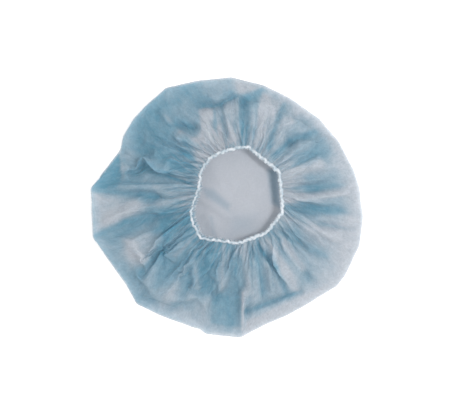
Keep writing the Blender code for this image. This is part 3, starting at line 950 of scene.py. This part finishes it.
def add_hem(obj):
    """Adds rows of rippled fabric that run in past the elastic from the sheet's rim."""
    rng = np.random.default_rng(HEM_SEED)
    shape = bmesh.new()
    shape.from_mesh(obj.data)
    uv = shape.loops.layers.uv["cut"]
    gathered, side = shape.verts.layers.float["gathered"], shape.verts.layers.float["side"]
    rim = [v for v in shape.verts if v.is_boundary]
    offset = np.array([v.co[:2] for v in rim]) - MOUTH_MIDDLE
    order = np.argsort(np.arctan2(offset[:, 1], offset[:, 0]))
    rim = [rim[i] for i in order]
    place = np.array([v.co for v in rim])
    cut_at = {v.index: v.link_loops[0][uv].uv.copy() for v in rim}
    degrees = np.degrees(np.arctan2(*(offset[order].T[::-1])))
    inward = -offset[order] / np.linalg.norm(offset[order], axis=1)[:, None]
    ripples = lobes(degrees, rng.uniform(*RIPPLE_WIDTHS, 2 * HEM_RIPPLES))
    lobe = np.minimum(ripples.astype(int), 2 * HEM_RIPPLES - 1)
    ripple = np.sin(math.pi * ripples) * rng.uniform(*RIPPLE_HEIGHTS, 2 * HEM_RIPPLES)[lobe]
    wide = hem_width(degrees)
    before = rim
    for share, lift in HEM_ROWS:
        plan = place[:, :2] + inward * (wide * share * (1 + HEM_WAVER * np.cos(math.pi * ripples)))[:, None]
        z = place[:, 2] - HEM_SINK * share + lift * ripple
        row = [shape.verts.new((*xy, h)) for xy, h in zip(plan, z)]
        for v, old in zip(row, rim):
            v[gathered] = old[gathered] * (1 - share)
            v[side] = 1.0
        for i in range(len(row)):
            j = (i + 1) % len(row)
            face = shape.faces.new((before[i], before[j], row[j], row[i]))
            for loop, k in zip(face.loops, (i, j, j, i)):
                loop[uv].uv = cut_at[rim[k].index] * (1.0 + HEM_CUT * share)
        before = row
    shape.normal_update()
    shape.to_mesh(obj.data)
    shape.free()


def add_values(mesh, name, values):
    mesh.attributes.new(name, "FLOAT", "POINT").data.foreach_set("value", values.astype(np.float32))


def values_of(mesh, name):
    values = np.empty(len(mesh.vertices), np.float32)
    mesh.attributes[name].data.foreach_get("value", values)
    return values.astype(float)


def finish_shape(mesh):
    """On the smoothed mesh: the narrow creases, the crown's creases, the measured outline and the tone, with
    its painted highlights and painted shade.
    """
    points = np.empty(3 * len(mesh.vertices), np.float32)
    mesh.vertices.foreach_get("co", points)
    points = keep_outline(points.reshape(-1, 3).astype(float))
    plan, height = points[:, :2], points[:, 2].copy()
    side = values_of(mesh, "side")
    creases = crease_lift(CREASES, plan, 0.0)
    sharp = crease_lift([c for c in CREASES if c.width < SHARP_WIDTH], plan, 0.0)
    offset = plan - MOUTH_MIDDLE
    mouth = mouth_point(np.degrees(np.arctan2(offset[:, 1], offset[:, 0])))
    past_mouth = np.linalg.norm(offset, axis=1) - np.linalg.norm(mouth - MOUTH_MIDDLE, axis=1)
    points[:, 2] += RIDGE_HEIGHT * sharp * side * eased((past_mouth - RIDGES_FROM) / RIDGES_OVER)
    under_band = BAND_HEIGHT + BAND_CLEARANCE + BAND_SLOPE * np.maximum(past_mouth - ROPE_RADIUS, 0.0)
    points[:, 2] = np.where(side > 0.5, np.minimum(points[:, 2], under_band), points[:, 2])
    points[:, 2] += (1 - side) * crease_lift(CROWN_CREASES, plan, 0.0)
    points[:, 2] -= SUNK * (1 - eased(height / SUNK_UP_TO))
    mesh.vertices.foreach_set("co", points.astype(np.float32).ravel())
    rightward = eased((plan[:, 0] + MOUTH_LEFT) / MOUTH_LEFT)
    mouth_tone = MOUTH_TONE * (MOUTH_LEAST + (1 - MOUTH_LEAST) * rightward)
    mouth_tone *= 1 - BELOW_MOUTH * eased((MOUTH_MIDDLE[1] - plan[:, 1]) / BELOW_OVER)
    # Painted highlight along the creases' ridges, painted shade along their valleys
    tone = BODY_TONE + values_of(mesh, "gathered") - CREASE_PAINTED_LIGHT_AND_SHADE * creases
    tone += PATCH_TONE * patch_tone(PATCHES, plan)
    left_tone = LEFT_TONE * eased((LEFT_FROM - plan[:, 0]) / LEFT_OVER)
    tone += left_tone - mouth_tone * (1 - eased(past_mouth / MOUTH_REACH))
    tone = side * shouldered(np.maximum(tone * (1 - RIM_FADE * pale_rim(plan)), 0))
    # Painted shade on the crown, darkest in the painted shadow of the mouth's right rim
    tone += (1 - side) * patch_tone(CROWN_PAINTED_SHADOWS, plan)
    # The 'gathered' attribute keeps this tone, painted light and shade included
    mesh.attributes["gathered"].data.foreach_set("value", tone.astype(np.float32))


def make_fabric():
    sheet = flat_sheet()
    start, past = folded(sheet.flat)
    held = past < -CROWN_HELD_TO
    held[sheet.rim_start:] = True
    points = settle(sheet, start, held)
    obj = add_mesh("non_woven_cap", points, sheet.faces)
    mesh = obj.data
    cut = mesh.uv_layers.new(name="cut")
    corners = np.empty(len(mesh.loops), np.int32)
    mesh.loops.foreach_get("vertex_index", corners)
    cut.data.foreach_set("uv", sheet.flat[corners].astype(np.float32).ravel())
    add_values(mesh, "gathered", gather_depth_and_painted_shade(sheet, points))
    add_values(mesh, "side", np.clip(past / SIDE_OVER, 0, 1))
    smooth = obj.modifiers.new("smooth", "SUBSURF")
    smooth.levels = smooth.render_levels = 1
    bpy.context.view_layer.objects.active = obj
    bpy.ops.object.modifier_apply(modifier=smooth.name)
    finish_shape(obj.data)
    add_hem(obj)
    obj.data.shade_smooth()
    return obj


fabric = dress(make_fabric(), fabric_material())
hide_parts("cap_body")
rope, thread = make_elastic()
white = elastic_material()
for piece in (rope, thread):
    dress(piece, white)
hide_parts("elastic_band")


def make_floor():
    w, z = FLOOR_HALF, -FLOOR_GAP
    floor = add_mesh("floor", [(-w, -w, z), (w, -w, z), (w, w, z), (-w, w, z)], [(0, 1, 2, 3)])
    n = Nodes("floor_white")
    n.shader.inputs["Base Color"].default_value = (0.93, 0.93, 0.93, 1.0)
    n.shader.inputs["Roughness"].default_value = 1.0
    n.shader.inputs["Specular IOR Level"].default_value = 0.0
    floor.data.materials.append(n.material)


def make_light(name, light):
    """A square light that faces the origin."""
    area = bpy.data.lights.new(name, "AREA")
    area.energy = light.power
    area.size = light.size
    obj = bpy.data.objects.new(name, area)
    obj.location = light.place
    obj.rotation_euler = (-Vector(light.place)).to_track_quat("-Z", "Y").to_euler()
    bpy.context.scene.collection.objects.link(obj)


def make_camera():
    camera = bpy.data.objects.new("camera", bpy.data.cameras.new("camera"))
    camera.data.lens = LENS
    camera.data.sensor_width = SENSOR
    camera.location = (*VIEW_CENTRE, VIEW_WIDTH * LENS / SENSOR)
    bpy.context.scene.collection.objects.link(camera)
    bpy.context.scene.camera = camera


make_floor()
make_light("key", KEY)
make_light("fill", FILL)
world = bpy.data.worlds.new("studio")
world.use_nodes = True
world.node_tree.nodes["Background"].inputs["Color"].default_value = (1.0, 1.0, 1.0, 1.0)
world.node_tree.nodes["Background"].inputs["Strength"].default_value = WORLD
bpy.context.scene.world = world
bpy.context.scene.view_settings.view_transform = "Standard"
bpy.context.scene.cycles.transparent_max_bounces = 64
make_camera()
